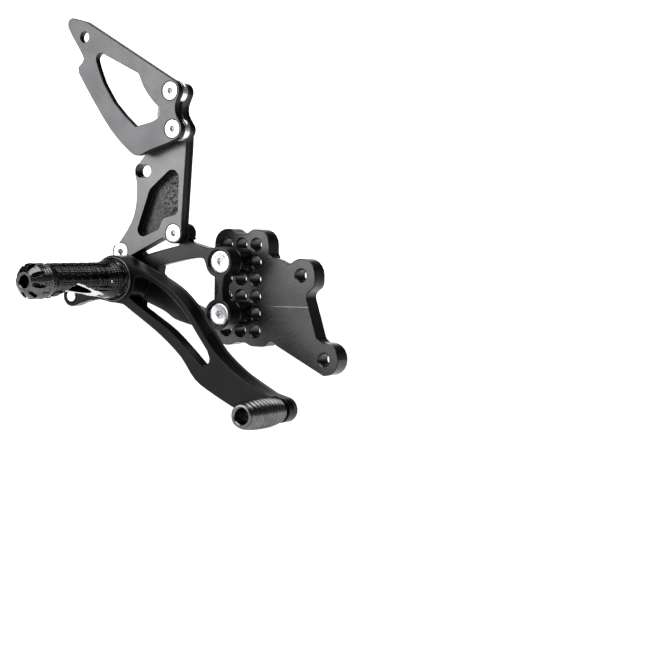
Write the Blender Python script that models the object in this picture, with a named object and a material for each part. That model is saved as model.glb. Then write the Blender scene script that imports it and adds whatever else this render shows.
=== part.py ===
"""Right-hand motorcycle rearset: a fixed foot peg on its bracket, with brake lever and heel guard.

Sizes are in millimetres in the driving dimensions and turned into metres when the meshes are made.
+X is forward, +Z is up and -Y points away from the motorcycle, along the foot peg.
The origin is the centre of the upper frame bolt hole, on the face that meets the frame.
"""

import math

import bmesh
import bpy
from mathutils import Matrix, Vector

MM = 0.001
GAP = 0.3  # clear space left between two pieces that rest on each other

# Layers along Y, each measured from the frame side outwards.
PLATE_THICK = 14.0
SPACER_LENGTH = 16.0
BOSS_DEPTH = 14.0
ARM_THICK = 9.0
UPRIGHT_THICK = 9.5
GUARD_STAND_OFF = 6.7
GUARD_THICK = 5.0
LEVER_THICK = 18.0
LEVER_SIDE_PLAY = 1.2  # between the upright's outer face and the lever's back
HUB_SIDE_PLAY = 0.6  # between the bracket hub's end and the lever's back

PLATE_FRONT = -PLATE_THICK
BOSS_BACK = PLATE_FRONT - SPACER_LENGTH
BRACKET_FRONT = BOSS_BACK - BOSS_DEPTH
ARM_BACK = BRACKET_FRONT + ARM_THICK
UPRIGHT_BACK = BRACKET_FRONT - GAP
UPRIGHT_FRONT = UPRIGHT_BACK - UPRIGHT_THICK
GUARD_BACK = UPRIGHT_FRONT - GUARD_STAND_OFF
GUARD_FRONT = GUARD_BACK - GUARD_THICK
LEVER_BACK = UPRIGHT_FRONT - LEVER_SIDE_PLAY
LEVER_FRONT = LEVER_BACK - LEVER_THICK
HUB_FRONT = LEVER_BACK + HUB_SIDE_PLAY

# Adapter plate: two frame bolt holes and a grid of threaded holes for the bracket.
FRAME_HOLE = 8.6
FRAME_LOBE = 12.0
LOWER_FRAME_X = 20.2
LOWER_FRAME_Z = -59.0
GRID_PITCH = 12.5
GRID_COLUMNS = 3
GRID_ROWS = 6
GRID_HOLE = 8.8
GRID_LOBE = 11.2  # outline radius round a corner hole of the grid
GRID_X = -38.2  # column nearest the frame bolts
GRID_Z = 21.0  # top row
WEB_THICK = 5.0
PLATE_EDGE = 0.6

# Bracket screws sit in the middle column of the grid, three rows apart.
BRACKET_COLUMN = 1
UPPER_ROW = 1
LOWER_ROW = 4
BOSS_RADIUS = 11.0
SEAT_RADIUS = 9.1
SEAT_DEPTH = 2.0
SPACER_RADIUS = 10.4
M8 = 8.0
M8_HEAD = 15.8
M6 = 6.0
M6_HEAD = 13.0
BOLT_CLEARANCE = 0.35  # radial room round a screw in its hole
HEAD_CLEARANCE = 0.3
HEAD_RIM = 0.3  # thin cylindrical rim of a countersunk head

# Foot peg and lever pivot, both on one axis along Y.
PIVOT_X = -122.2
PIVOT_Z = -5.5
HUB_RADIUS = 15.0
HUB_NOSE_RADIUS = 12.6  # the hub in front of the arms, clear of the upright's rear lug
LEVER_HUB_RADIUS = 17.1
LEVER_RECESS_RADIUS = 15.4
LEVER_RECESS_DEPTH = 4.0
LEVER_CHAMFER = 0.8
LEVER_RIM_PROUD = 0.9  # the hub's rim stands this far in front of the lever
BEARING_OUTSIDE = 24.0
BEARING_BORE = 15.0
BEARING_WIDTH = 5.0
BEARING_WALL = 1.6
SLEEVE_BORE = 8.8
PEG_RADIUS = 12.3
PEG_BASE_RADIUS = PEG_RADIUS + 1.5
PEG_NECK_RADIUS = 9.5
PEG_NECK_LENGTH = 4.0  # past the lever's front face
PEG_BODY_LENGTH = 70.0
PEG_BORE = 19.0
PEG_BOLT_SEAT = 9.0  # solid length between the neck and the bolt head
PEG_PIN_RADIUS = 1.1
PEG_PIN_LENGTH = 3.0
PEG_PIN_CLEARANCE = 0.2
PEG_PIN_DROP = 1.0  # how far the pin sits below the peg's axis
PEG_FLUTES = 8
PEG_FLUTE_DEPTH = 1.3
PEG_RING_PITCH = 9.6
PEG_RINGS = 5
PEG_RING_DEPTH = 0.9
SCOOP_LEVEL = -4.1  # height of the scoop's lowest line over the peg's axis
SCOOP_PLACE = 20.5  # from the grip's outer end to that line
SCOOP_TILT = 12.0
CAP_LENGTH = 16.0
CAP_CONE_LENGTH = 6.5
CAP_NOSE_RADIUS = 6.2
CAP_BORE = 8.5
CAP_BAND_WIDTH = 5.0  # plain band next to the grip
CAP_BAND_DEPTH = 1.1
CAP_SLOTS = 8
CAP_SLOT_WIDTH = 3.4
CAP_SLOT_INNER = 7.1  # from the axis to the slot's inner end
CAP_SLOT_START = 30.0
CAP_SPIGOT_LENGTH = 8.0

# Upright plate screws and heel guard screws.
UPRIGHT_FRONT_SCREW = (-83.5, 28.1)
UPRIGHT_REAR_SCREW = (-130.2, 13.7)
GUARD_UPPER_SCREW = (-79.7, 128.5)
GUARD_LOWER_SCREW = (-77.3, 101.8)
LUG_RADIUS = 7.4
UPRIGHT_LOBE = 6.7  # outline radius round the heel guard's screws
GUARD_LOBE = 8.2
GUARD_SPACER_RADIUS = 8.0
POCKET_DEPTH = 6.5

# Brake lever.
TAIL_PIN = (-160.0, -19.2)
TAIL_LUG_RADIUS = 7.5
TAIL_THICK = 10.0
TAIL_PIN_SIZE = 6.0
TAIL_PIN_HEAD = 8.2
TAIL_SEAT_CLEARANCE = 1.0
TAIL_PIN_HEAD_DEPTH = 4.0
TOE = (16.4, -90.9)
TOE_BOSS_RADIUS = 8.7
TOE_SEAT_RADIUS = 10.2
TOE_SEAT_DEPTH = 7.0  # the toe boss lies this far behind the lever's front face
LOWER_RAIL_THICK = 10.0
TOE_PEG_LENGTH = 47.0
TOE_PEG_RADIUS = 10.6
TOE_PEG_TAPER = 2.6
TOE_PEG_RIBS = 10
TOE_PEG_RIB_DEPTH = 1.1
TOE_SOCKET = 10.8
TOE_SOCKET_DEPTH = 27.0
TOE_SCREW_HEAD = 10.0
PEG_BOLT_HEAD = 13.0

PIVOT = (PIVOT_X, PIVOT_Z)


# ---------------------------------------------------------------- outlines in the X-Z plane

def arc(centre, radius, start, end, steps):
    """Points of an arc from start to end, in degrees, counted from +X towards +Z."""
    points = []
    for k in range(steps + 1):
        angle = math.radians(start + (end - start) * k / steps)
        points.append((centre[0] + radius * math.cos(angle), centre[1] + radius * math.sin(angle)))
    return points


def circle(centre, radius, steps):
    return arc(centre, radius, 0.0, 360.0, steps)[:-1]


def curve_through(points, steps):
    """A smooth curve through the given points, steps pieces between each two."""
    ends = [points[0]] + list(points) + [points[-1]]
    curve = []
    for before, here, there, after in zip(ends, ends[1:], ends[2:], ends[3:]):
        for k in range(steps):
            t = k / steps
            curve.append(tuple(
                0.5 * (2 * b + (c - a) * t + (2 * a - 5 * b + 4 * c - d) * t**2
                       + (3 * b - a - 3 * c + d) * t**3)
                for a, b, c, d in zip(before, here, there, after)
            ))
    curve.append(tuple(points[-1]))
    return curve


def rounded(corners, degrees_per_step=18.0):
    """A closed outline from (x, z, radius) corners, each rounded by an arc of its radius."""
    points = []
    count = len(corners)
    for k, (x, z, radius) in enumerate(corners):
        here = Vector((x, z))
        back = (Vector(corners[k - 1][:2]) - here).normalized()
        ahead = (Vector(corners[(k + 1) % count][:2]) - here).normalized()
        half = back.angle(ahead) / 2
        inward = (back + ahead).normalized()
        centre = here + inward * (radius / math.sin(half))
        turn = math.pi - 2 * half
        steps = max(1, math.ceil(math.degrees(turn) / degrees_per_step))
        side = 1.0 if back.x * ahead.y - back.y * ahead.x < 0 else -1.0
        first = (-inward).angle_signed(Vector((1.0, 0.0)))
        for n in range(steps + 1):
            angle = first + side * turn * (n / steps - 0.5)
            points.append((centre.x + radius * math.cos(angle), centre.y + radius * math.sin(angle)))
    return points


def slot_outline(centre, length, width, steps):
    """A slot with round ends, its long side along X."""
    reach = (length - width) / 2
    right = arc((centre[0] + reach, centre[1]), width / 2, -90.0, 90.0, steps)
    left = arc((centre[0] - reach, centre[1]), width / 2, 90.0, 270.0, steps)
    return right + left


def grown(outline, distance):
    """The outline moved outwards by distance at every point."""
    area = sum(a[0] * b[1] - b[0] * a[1] for a, b in zip(outline, outline[1:] + outline[:1]))
    side = 1.0 if area > 0 else -1.0
    moved = []
    for k, point in enumerate(outline):
        here = Vector(point)
        back = (here - Vector(outline[k - 1])).normalized()
        ahead = (Vector(outline[(k + 1) % len(outline)]) - here).normalized()
        normal = Vector((back.y + ahead.y, -back.x - ahead.x)) * side
        normal.normalize()
        stretch = 1.0 / max(0.5, math.cos(back.angle(ahead, 0.0) / 2))
        moved.append(tuple(here + normal * distance * stretch))
    return moved


# ---------------------------------------------------------------- solids

def new_object(name, mesh, smooth_angle):
    mesh.shade_smooth()
    mesh.set_sharp_from_angle(angle=math.radians(smooth_angle))
    made = bpy.data.objects.new(name, mesh)
    bpy.context.scene.collection.objects.link(made)
    return made


def stacked(name, loops, smooth_angle=35.0):
    """A closed solid from loops of (x, y, z) points in millimetres, capped at both ends."""
    bm = bmesh.new()
    rings = []
    for loop in loops:
        rings.append([bm.verts.new(Vector(point) * MM) for point in loop])
    for near, far in zip(rings, rings[1:]):
        for k in range(len(near)):
            n = (k + 1) % len(near)
            bm.faces.new((near[k], near[n], far[n], far[k]))
    bm.faces.new(rings[0][::-1])
    bm.faces.new(rings[-1])
    bmesh.ops.recalc_face_normals(bm, faces=bm.faces)
    mesh = bpy.data.meshes.new(name)
    bm.to_mesh(mesh)
    bm.free()
    return new_object(name, mesh, smooth_angle)


def slab(name, outline, front, back, edge=0.0):
    """A flat plate between two Y values, its edges chamfered by edge.

    A negative edge flares the ends instead, which suits a cutter that leaves a chamfer behind.
    """
    if edge == 0.0:
        levels = [(front, 0.0), (back, 0.0)]
    elif edge > 0.0:
        levels = [(front, -edge), (front + edge, 0.0), (back - edge, 0.0), (back, -edge)]
    else:
        past = 1.0
        levels = [(front - past, past - edge), (front - edge, 0.0)]
        levels += [(back + edge, 0.0), (back + past, past - edge)]
    loops = []
    for y, offset in levels:
        ring = grown(outline, offset) if offset else outline
        loops.append([(x, y, z) for x, z in ring])
    return stacked(name, loops)


def turned(name, centre, profile, steps=32, smooth_angle=35.0):
    """A turned solid about an axis along Y, from (radius, y) pairs, closed by a flat at each end."""
    loops = []
    for radius, y in profile:
        loops.append([(x, y, z) for x, z in circle(centre, radius, steps)])
    return stacked(name, loops, smooth_angle)


def ring(name, centre, profile, steps=32):
    """A turned ring about an axis along Y, from a closed loop of (radius, y) pairs."""
    bm = bmesh.new()
    loops = []
    for radius, y in profile:
        loops.append([bm.verts.new(Vector((x, y, z)) * MM) for x, z in circle(centre, radius, steps)])
    for near, far in zip(loops, loops[1:] + loops[:1]):
        for k in range(steps):
            n = (k + 1) % steps
            bm.faces.new((near[k], near[n], far[n], far[k]))
    bmesh.ops.recalc_face_normals(bm, faces=bm.faces)
    mesh = bpy.data.meshes.new(name)
    bm.to_mesh(mesh)
    bm.free()
    return new_object(name, mesh, 35.0)


def tube(name, centre, outside, inside, front, back, edge, steps=32):
    """A plain ring with chamfered outer edges."""
    return ring(name, centre, [
        (outside - edge, front), (outside, front + edge), (outside, back - edge),
        (outside - edge, back), (inside, back), (inside, front),
    ], steps)


def combine(target, other, operation):
    other.hide_render = True
    other.display_type = 'WIRE'
    modifier = target.modifiers.new(other.name, 'BOOLEAN')
    modifier.operation = operation
    modifier.solver = 'EXACT'
    modifier.object = other


def cut(target, other):
    combine(target, other, 'DIFFERENCE')


def add(target, other):
    combine(target, other, 'UNION')


def hole(target, name, centre, diameter, front, back, edge=0.5, steps=20):
    """A round through hole with a chamfer at both faces."""
    cut(target, slab(name, circle(centre, diameter / 2, steps), front, back, -edge))


def countersink(target, name, centre, face, head, size, depth):
    """A countersunk screw's seat below a face, with its clearance hole to the given depth."""
    seat = head / 2 + HEAD_RIM + HEAD_CLEARANCE
    bore = size / 2 + BOLT_CLEARANCE
    past = 1.0
    cut(target, turned(name, centre, [
        (seat + past, face - past), (bore, face + seat - bore), (bore, face + depth),
    ], 24))


def material(target, colour, metallic, roughness):
    made = bpy.data.materials.new(target.name)
    made.use_nodes = True
    shader = made.node_tree.nodes['Principled BSDF']
    shader.inputs['Base Color'].default_value = (*colour, 1.0)
    shader.inputs['Metallic'].default_value = metallic
    shader.inputs['Roughness'].default_value = roughness
    target.data.materials.append(made)


def anodised(target, shade=0.05):
    material(target, (shade, shade, shade), 0.6, 0.42)


def steel(target):
    material(target, (0.62, 0.61, 0.59), 1.0, 0.25)


def aluminium(target):
    material(target, (0.75, 0.75, 0.74), 1.0, 0.32)


# ---------------------------------------------------------------- frame side

def grid_hole(column, row):
    """Centre of a grid hole; column 0 and row 0 are nearest the upper frame bolt."""
    return (GRID_X - column * GRID_PITCH, GRID_Z - row * GRID_PITCH)


def plate_outline():
    left, bottom = grid_hole(GRID_COLUMNS - 1, GRID_ROWS - 1)
    reach = GRID_LOBE
    top = GRID_Z + reach
    base = bottom - reach
    dip = 3.4  # the waist between two lobes lies this far inside them
    lobe = FRAME_LOBE
    low_x = LOWER_FRAME_X
    low_z = LOWER_FRAME_Z
    return rounded([
        (left - reach, top, reach - 0.2),
        (left + 3.4, top, 6.0),
        (left + 8.6, top - dip, 5.0),
        (GRID_X - 8.6, top - dip, 5.0),
        (GRID_X - 3.4, top, 6.0),
        (GRID_X + reach, top, reach - 0.2),
        (GRID_X + reach, GRID_Z - 8.0, 3.5),
        (-lobe - 5.0, 10.6, 4.0),
        (-lobe + 2.0, 7.4, 4.0),
        (-lobe + 8.0, lobe, 10.0),
        (lobe, lobe, lobe - 0.4),
        (lobe, -7.5, 6.0),
        (4.4, -13.4, 5.0),
        (low_x - 5.8, low_z + 14.6, 3.0),
        (low_x - 2.5, low_z + lobe - 0.2, 4.0),
        (low_x + lobe, low_z + lobe - 0.2, lobe - 0.6),
        (low_x + lobe, low_z - lobe + 0.4, lobe - 0.6),
        (low_x - 0.5, low_z - lobe + 0.4, 4.0),
        (GRID_X + 18.4, bottom - 9.7, 6.0),
        (GRID_X + 13.0, bottom - 5.9, 3.5),
        (GRID_X + 8.6, base, 5.0),
        (GRID_X - 3.4, base, 6.0),
        (GRID_X - 8.6, base + dip - 1.0, 5.0),
        (left + 8.6, base + dip - 1.0, 5.0),
        (left + 3.4, base, 6.0),
        (left - reach, base, reach - 0.2),
    ])


def web_pocket_outline():
    """The back of the plate is milled away here, open to the top and bottom edges."""
    inner = GRID_X + GRID_LOBE + 1.0
    low_x = LOWER_FRAME_X
    low_z = LOWER_FRAME_Z
    return rounded([
        (inner, 30.0, 1.0),
        (-FRAME_LOBE - 0.5, 30.0, 1.0),
        (-FRAME_LOBE - 0.5, -6.0, 7.0),
        (-3.6, -15.0, 4.0),
        (low_x - 14.5, low_z + 13.0, 6.0),
        (low_x - 12.5, low_z - 4.0, 6.0),
        (low_x - 16.0, -85.0, 1.0),
        (inner, -85.0, 1.0),
    ])


def adapter_plate():
    plate = slab("adapter_plate", plate_outline(), PLATE_FRONT, 0.0, PLATE_EDGE)
    past = 2.0
    cut(plate, slab("cut_web", web_pocket_outline(), PLATE_FRONT + WEB_THICK, past))
    hole(plate, "cut_frame_upper", (0.0, 0.0), FRAME_HOLE, PLATE_FRONT, 0.0, 1.0, 24)
    lower = (LOWER_FRAME_X, LOWER_FRAME_Z)
    hole(plate, "cut_frame_lower", lower, FRAME_HOLE, PLATE_FRONT, 0.0, 1.0, 24)
    for column in range(GRID_COLUMNS):
        for row in range(GRID_ROWS):
            name = f"cut_grid_{column}_{row}"
            hole(plate, name, grid_hole(column, row), GRID_HOLE, PLATE_FRONT, 0.0, 0.8, 14)
    anodised(plate)


def bracket_spacer(name, centre):
    bore = M8 / 2 + BOLT_CLEARANCE
    front = BOSS_BACK + GAP
    spacer = tube(name, centre, SPACER_RADIUS, bore, front, PLATE_FRONT - GAP, 0.8, 28)
    anodised(spacer)


def countersunk_screw(name, centre, top, head, size, tip):
    """A countersunk screw with a hexagon socket, its flat head at Y = top and its end at Y = tip."""
    cone = (head - size) / 2
    screw = turned(name, centre, [
        (head / 2, top), (head / 2, top + HEAD_RIM), (size / 2, top + HEAD_RIM + cone),
        (size / 2, tip - 1.0), (size / 2 - 0.8, tip),
    ], 24)
    socket = size * 0.36
    past = 1.0
    cut(screw, slab(f"cut_{name}", circle(centre, socket, 6), top - past, top + size * 0.42))
    steel(screw)
    return screw


# ---------------------------------------------------------------- bracket

def bracket_outline():
    """Two arms that run from the hub to the two bosses, with a lug for each upright screw."""
    upper = grid_hole(BRACKET_COLUMN, UPPER_ROW)
    lower = grid_hole(BRACKET_COLUMN, LOWER_ROW)
    hub = arc(PIVOT, HUB_RADIUS, 260.0, 160.0, 8)
    rear_lug = arc(UPRIGHT_REAR_SCREW, LUG_RADIUS, 190.0, 60.0, 8)
    top_edge = curve_through([(-117.0, 11.4), (-101.0, 15.7), (-85.5, 19.4)], 3)
    shoulder = [(-84.0, 27.0), (-81.0, 27.0), (-77.2, 22.4)]
    upper_boss = arc(upper, BOSS_RADIUS, 112.0, -62.0, 14)
    lower_boss = arc(lower, BOSS_RADIUS, 62.0, -104.0, 14)
    lower_edge = curve_through([
        (-74.0, -37.4), (-88.0, -33.8), (-96.5, -28.8), (-112.0, -23.0),
    ], 3)
    bridge = curve_through([
        (upper[0] + 4.6, upper[1] - 12.0), (upper[0] + 4.0, (upper[1] + lower[1]) / 2),
        (lower[0] + 4.6, lower[1] + 12.0),
    ], 3)
    neck = [(-66.0, 19.6), (-59.0, 18.0)]
    return (hub + rear_lug + top_edge + shoulder + neck + upper_boss + bridge + lower_boss
            + lower_edge)


def bracket_window():
    """The open triangle between the two arms and the bridge that joins the bosses."""
    upper = grid_hole(BRACKET_COLUMN, UPPER_ROW)
    lower = grid_hole(BRACKET_COLUMN, LOWER_ROW)
    upper_edge = curve_through([(-102.0, 4.4), (-81.7, 9.0), (-68.5, 11.0), (-63.4, 10.2)], 3)
    upper_boss = arc(upper, BOSS_RADIUS + 0.2, 190.0, 262.0, 6)
    bridge = [(upper[0] + 1.4, (upper[1] + lower[1]) / 2)]
    lower_boss = arc(lower, BOSS_RADIUS + 0.2, 98.0, 170.0, 6)
    lower_edge = curve_through([(-68.0, -24.4), (-80.0, -19.5), (-92.0, -11.0), (-103.0, -1.5)], 3)
    return upper_edge + upper_boss + bridge + lower_boss + lower_edge


def main_bracket():
    bracket = slab("main_bracket", bracket_outline(), BRACKET_FRONT, ARM_BACK, 0.5)
    cut(bracket, slab("cut_bracket_window", bracket_window(), BRACKET_FRONT, ARM_BACK, -0.5))
    inside = 0.05  # joined pieces start this far inside each other's faces
    for row, name in ((UPPER_ROW, "upper"), (LOWER_ROW, "lower")):
        centre = grid_hole(BRACKET_COLUMN, row)
        back = turned(f"add_boss_{name}", centre, [
            (BOSS_RADIUS - inside, BRACKET_FRONT + 2.0), (BOSS_RADIUS - inside, BOSS_BACK - 0.8),
            (BOSS_RADIUS - 0.8, BOSS_BACK),
        ], 28)
        add(bracket, back)
    hub = turned("add_hub", PIVOT, [
        (HUB_NOSE_RADIUS - 0.8, HUB_FRONT), (HUB_NOSE_RADIUS, HUB_FRONT + 0.8),
        (HUB_NOSE_RADIUS, ARM_BACK - 2.0),
    ], 32)
    add(bracket, hub)
    gusset = slab("add_gusset", rounded([
        (-88.0, 34.4, 1.0), (-84.0, 34.4, 0.6), (-76.9, 24.2, 0.4), (-80.0, 22.8, 0.6), (-88.0, 22.8, 0.6),
    ]), ARM_BACK - 3.0, ARM_BACK + 1.5)
    add(bracket, gusset)
    lug = turned("add_front_lug", UPRIGHT_FRONT_SCREW, [
        (LUG_RADIUS - inside, BRACKET_FRONT + inside), (LUG_RADIUS - inside, ARM_BACK - 0.2),
    ], 24)
    add(bracket, lug)
    for row, name in ((UPPER_ROW, "upper"), (LOWER_ROW, "lower")):
        centre = grid_hole(BRACKET_COLUMN, row)
        seat = BRACKET_FRONT + SEAT_DEPTH
        past = 1.0
        cut(bracket, turned(f"cut_seat_{name}", centre, [
            (SEAT_RADIUS, BRACKET_FRONT - past), (SEAT_RADIUS, seat),
        ], 32))
        countersink(bracket, f"cut_screw_{name}", centre, seat, M8_HEAD, M8, BOSS_DEPTH + past)
    for centre, name in ((UPRIGHT_FRONT_SCREW, "front"), (UPRIGHT_REAR_SCREW, "rear")):
        cut(bracket, slab(f"cut_tap_{name}", circle(centre, M6 / 2 + BOLT_CLEARANCE, 18),
                          BRACKET_FRONT - 1.0, ARM_BACK + 3.0))
    cut(bracket, slab("cut_hub_thread", circle(PIVOT, M8 / 2 + BOLT_CLEARANCE, 24),
                      HUB_FRONT - 1.0, ARM_BACK + 3.0))
    anodised(bracket, 0.06)


# ---------------------------------------------------------------- upright and heel guard

def upright_outline():
    upper = (GUARD_UPPER_SCREW[0] - 0.6, GUARD_UPPER_SCREW[1])
    lower = (GUARD_LOWER_SCREW[0] - 0.6, GUARD_LOWER_SCREW[1])
    top = arc(upper, UPRIGHT_LOBE, 150.0, -24.0, 12)
    second = arc(lower, UPRIGHT_LOBE, 30.0, -40.0, 6)
    front_lug = arc(UPRIGHT_FRONT_SCREW, LUG_RADIUS, -5.0, -125.0, 6)
    bottom_edge = [(-92.5, 24.6), (-118.5, 12.2)]
    rear_lug = arc(UPRIGHT_REAR_SCREW, LUG_RADIUS, -60.0, -215.0, 7)
    left_edge = curve_through([
        (-131.4, 20.6), (-121.0, 35.0), (-116.8, 48.0), (-116.4, 63.0), (-118.0, 70.0),
    ], 3)
    ear = arc((-111.8, 72.5), 6.4, 172.0, 112.0, 4)
    upper_edge = curve_through([
        (-109.5, 83.8), (-101.6, 92.5), (-98.5, 106.0), (-98.6, 117.0), (-89.0, 130.6),
    ], 3)
    neck = [(-75.6, 122.6), (-77.0, 119.4), (-77.4, 116.0), (-76.8, 112.4), (-74.6, 108.6)]
    return (top + neck + second + [(-72.9, 92.0), (-76.2, 35.0)] + front_lug + bottom_edge
            + rear_lug + left_edge + ear + upper_edge)


def upright_pocket():
    return rounded([
        (-78.8, 80.5, 6.0),
        (-79.6, 41.6, 4.0),
        (-92.5, 38.8, 5.0),
        (-96.0, 30.6, 3.5),
        (-118.6, 21.6, 5.0),
        (-104.6, 59.4, 3.0),
    ])


def upright_plate():
    plate = slab("upright_plate", upright_outline(), UPRIGHT_FRONT, UPRIGHT_BACK, 0.4)
    floor = UPRIGHT_FRONT + POCKET_DEPTH
    cut(plate, slab("cut_upright_pocket", upright_pocket(), UPRIGHT_FRONT - 2.0, floor))
    slot = slot_outline((-110.6, 72.5), 13.8, 8.8, 8)
    cut(plate, slab("cut_upright_slot", slot, UPRIGHT_FRONT, UPRIGHT_BACK, -0.4))
    past = 1.0
    for centre, name in ((UPRIGHT_FRONT_SCREW, "front"), (UPRIGHT_REAR_SCREW, "rear")):
        countersink(plate, f"cut_upright_{name}", centre, UPRIGHT_FRONT, M6_HEAD, M6,
                    UPRIGHT_THICK + past)
    for centre, name in ((GUARD_UPPER_SCREW, "top"), (GUARD_LOWER_SCREW, "second")):
        cut(plate, slab(f"cut_upright_{name}", circle(centre, M6 / 2 + BOLT_CLEARANCE, 18),
                        UPRIGHT_FRONT - past, UPRIGHT_BACK + past))
    anodised(plate, 0.10)


def guard_outline():
    top = arc(GUARD_UPPER_SCREW, GUARD_LOBE, 68.0, -25.0, 8)
    second = arc(GUARD_LOWER_SCREW, GUARD_LOBE, 24.0, -60.0, 8)
    neck = [(-73.7, 121.6), (-74.7, 118.2), (-74.7, 114.6), (-73.6, 110.9), (-71.6, 107.8)]
    tip = rounded_tip()
    lower_edge = curve_through([
        (-80.0, 92.0), (-96.1, 87.0), (-106.5, 83.0), (-115.0, 86.4),
        (-131.5, 101.6), (-149.5, 125.4), (-161.5, 143.2),
    ], 3)
    notch = curve_through([(-162.0, 147.4), (-157.6, 151.8), (-158.6, 156.6), (-167.9, 170.1)], 3)
    return top + neck + second + lower_edge + notch + tip


def rounded_tip():
    """The guard's pointed upper end."""
    return [(-171.6, 176.4)] + arc((-167.8, 178.9), 4.2, 190.0, 78.0, 5) + [(-154.6, 179.8)]


def guard_window():
    """The guard's opening, its outer side slightly curved."""
    return rounded([
        (-148.4, 160.6, 4.2),
        (-107.5, 141.5, 2.5),
        (-102.8, 131.6, 24.0),
        (-96.7, 123.7, 40.0),
        (-84.3, 112.7, 5.0),
        (-94.5, 107.0, 15.0),
        (-109.5, 103.7, 1.2),
        (-123.7, 115.5, 70.0),
        (-134.3, 127.9, 70.0),
        (-141.6, 141.2, 60.0),
    ], 12.0)


def heel_guard():
    guard = slab("heel_guard", guard_outline(), GUARD_FRONT, GUARD_BACK, 0.4)
    cut(guard, slab("cut_guard_window", guard_window(), GUARD_FRONT, GUARD_BACK, -0.4))
    hole(guard, "cut_guard_tip", (-156.3, 168.8), 7.8, GUARD_FRONT, GUARD_BACK, 0.4, 20)
    past = 1.0
    for centre, name in ((GUARD_UPPER_SCREW, "top"), (GUARD_LOWER_SCREW, "second")):
        countersink(guard, f"cut_guard_{name}", centre, GUARD_FRONT, M6_HEAD, M6,
                    GUARD_THICK + past)
    anodised(guard, 0.10)


def guard_spacer(name, centre):
    bore = M6 / 2 + BOLT_CLEARANCE
    spacer = tube(name, centre, GUARD_SPACER_RADIUS, bore, GUARD_BACK + GAP, UPRIGHT_FRONT - GAP,
                  0.4, 24)
    aluminium(spacer)


# ---------------------------------------------------------------- foot peg

PEG_NECK_FRONT = LEVER_FRONT - PEG_NECK_LENGTH
PEG_BACK = LEVER_FRONT + LEVER_RECESS_DEPTH - GAP
PEG_FRONT = PEG_NECK_FRONT - PEG_BODY_LENGTH
BOLT_SEAT = PEG_NECK_FRONT - PEG_BOLT_SEAT
PEG_PIN_Y = PEG_NECK_FRONT - 12.0
PEG_PIN_PROUD = PEG_RADIUS + 0.5  # where the pin's outer end lies, from the peg's axis
CAP_BACK = PEG_FRONT - GAP
CAP_RIM = CAP_BACK - CAP_LENGTH
CAP_NOSE = CAP_RIM - CAP_CONE_LENGTH


def fluted_loop(radius, y, depth):
    """A section of the grip: flat flutes of the given depth between raised lands."""
    points = []
    pitch = 360.0 / PEG_FLUTES
    # Share of one pitch, and whether the point lies down in the flute.
    section = ((0.0, False), (0.22, False), (0.45, False), (0.55, True), (0.95, True))
    for flute in range(PEG_FLUTES):
        for share, low in section:
            angle = math.radians(pitch * (flute + share) + 22.0)
            reach = radius - depth if low else radius
            points.append((PIVOT_X + reach * math.cos(angle), y, PIVOT_Z + reach * math.sin(angle)))
    return points


def peg_grip_loops():
    """Sections along the grip, from the base to its outer end, with the ring grooves."""
    loops = [
        fluted_loop(PEG_NECK_RADIUS, PEG_BACK, 0.0),
        fluted_loop(PEG_NECK_RADIUS, PEG_NECK_FRONT - 0.2, 0.0),
        fluted_loop(PEG_BASE_RADIUS - 0.6, PEG_NECK_FRONT - 0.4, 0.0),
        fluted_loop(PEG_BASE_RADIUS, PEG_NECK_FRONT - 1.0, 0.0),
        fluted_loop(PEG_RADIUS + 0.4, PEG_NECK_FRONT - 12.0, PEG_FLUTE_DEPTH / 2),
    ]
    first = PEG_FRONT + PEG_RING_PITCH * (PEG_RINGS - 1) + 6.0
    for k in range(PEG_RINGS):
        y = first - k * PEG_RING_PITCH
        loops.append(fluted_loop(PEG_RADIUS, y + 1.0, PEG_FLUTE_DEPTH))
        loops.append(fluted_loop(PEG_RADIUS - PEG_RING_DEPTH, y, PEG_FLUTE_DEPTH - 0.6))
        loops.append(fluted_loop(PEG_RADIUS - PEG_RING_DEPTH, y - 0.6, PEG_FLUTE_DEPTH - 0.6))
        loops.append(fluted_loop(PEG_RADIUS, y - 1.2, PEG_FLUTE_DEPTH))
    loops.append(fluted_loop(PEG_RADIUS, PEG_FRONT + 0.5, PEG_FLUTE_DEPTH))
    loops.append(fluted_loop(PEG_RADIUS - 0.5, PEG_FRONT, PEG_FLUTE_DEPTH - 0.4))
    return loops


def peg_scoop():
    """A V cut across the underside of the grip, tilted to the front side, that opens the bore."""
    outer = PEG_FRONT + 1.5
    inner = PEG_NECK_FRONT - 4.0
    flush = PEG_RADIUS + 0.6
    low = -26.0
    side = 26.0
    profile = [(outer, -flush), (PEG_FRONT + SCOOP_PLACE, SCOOP_LEVEL),
               (inner, -flush - 0.7), (inner, low), (outer, low)]
    tilt = math.radians(SCOOP_TILT)
    loops = []
    for along in (-side, side):
        loop = []
        for y, z in profile:
            x = along * math.cos(tilt) - z * math.sin(tilt)
            height = along * math.sin(tilt) + z * math.cos(tilt)
            loop.append((PIVOT_X + x, y, PIVOT_Z + height))
        loops.append(loop)
    return stacked("cut_peg_scoop", loops)


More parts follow.
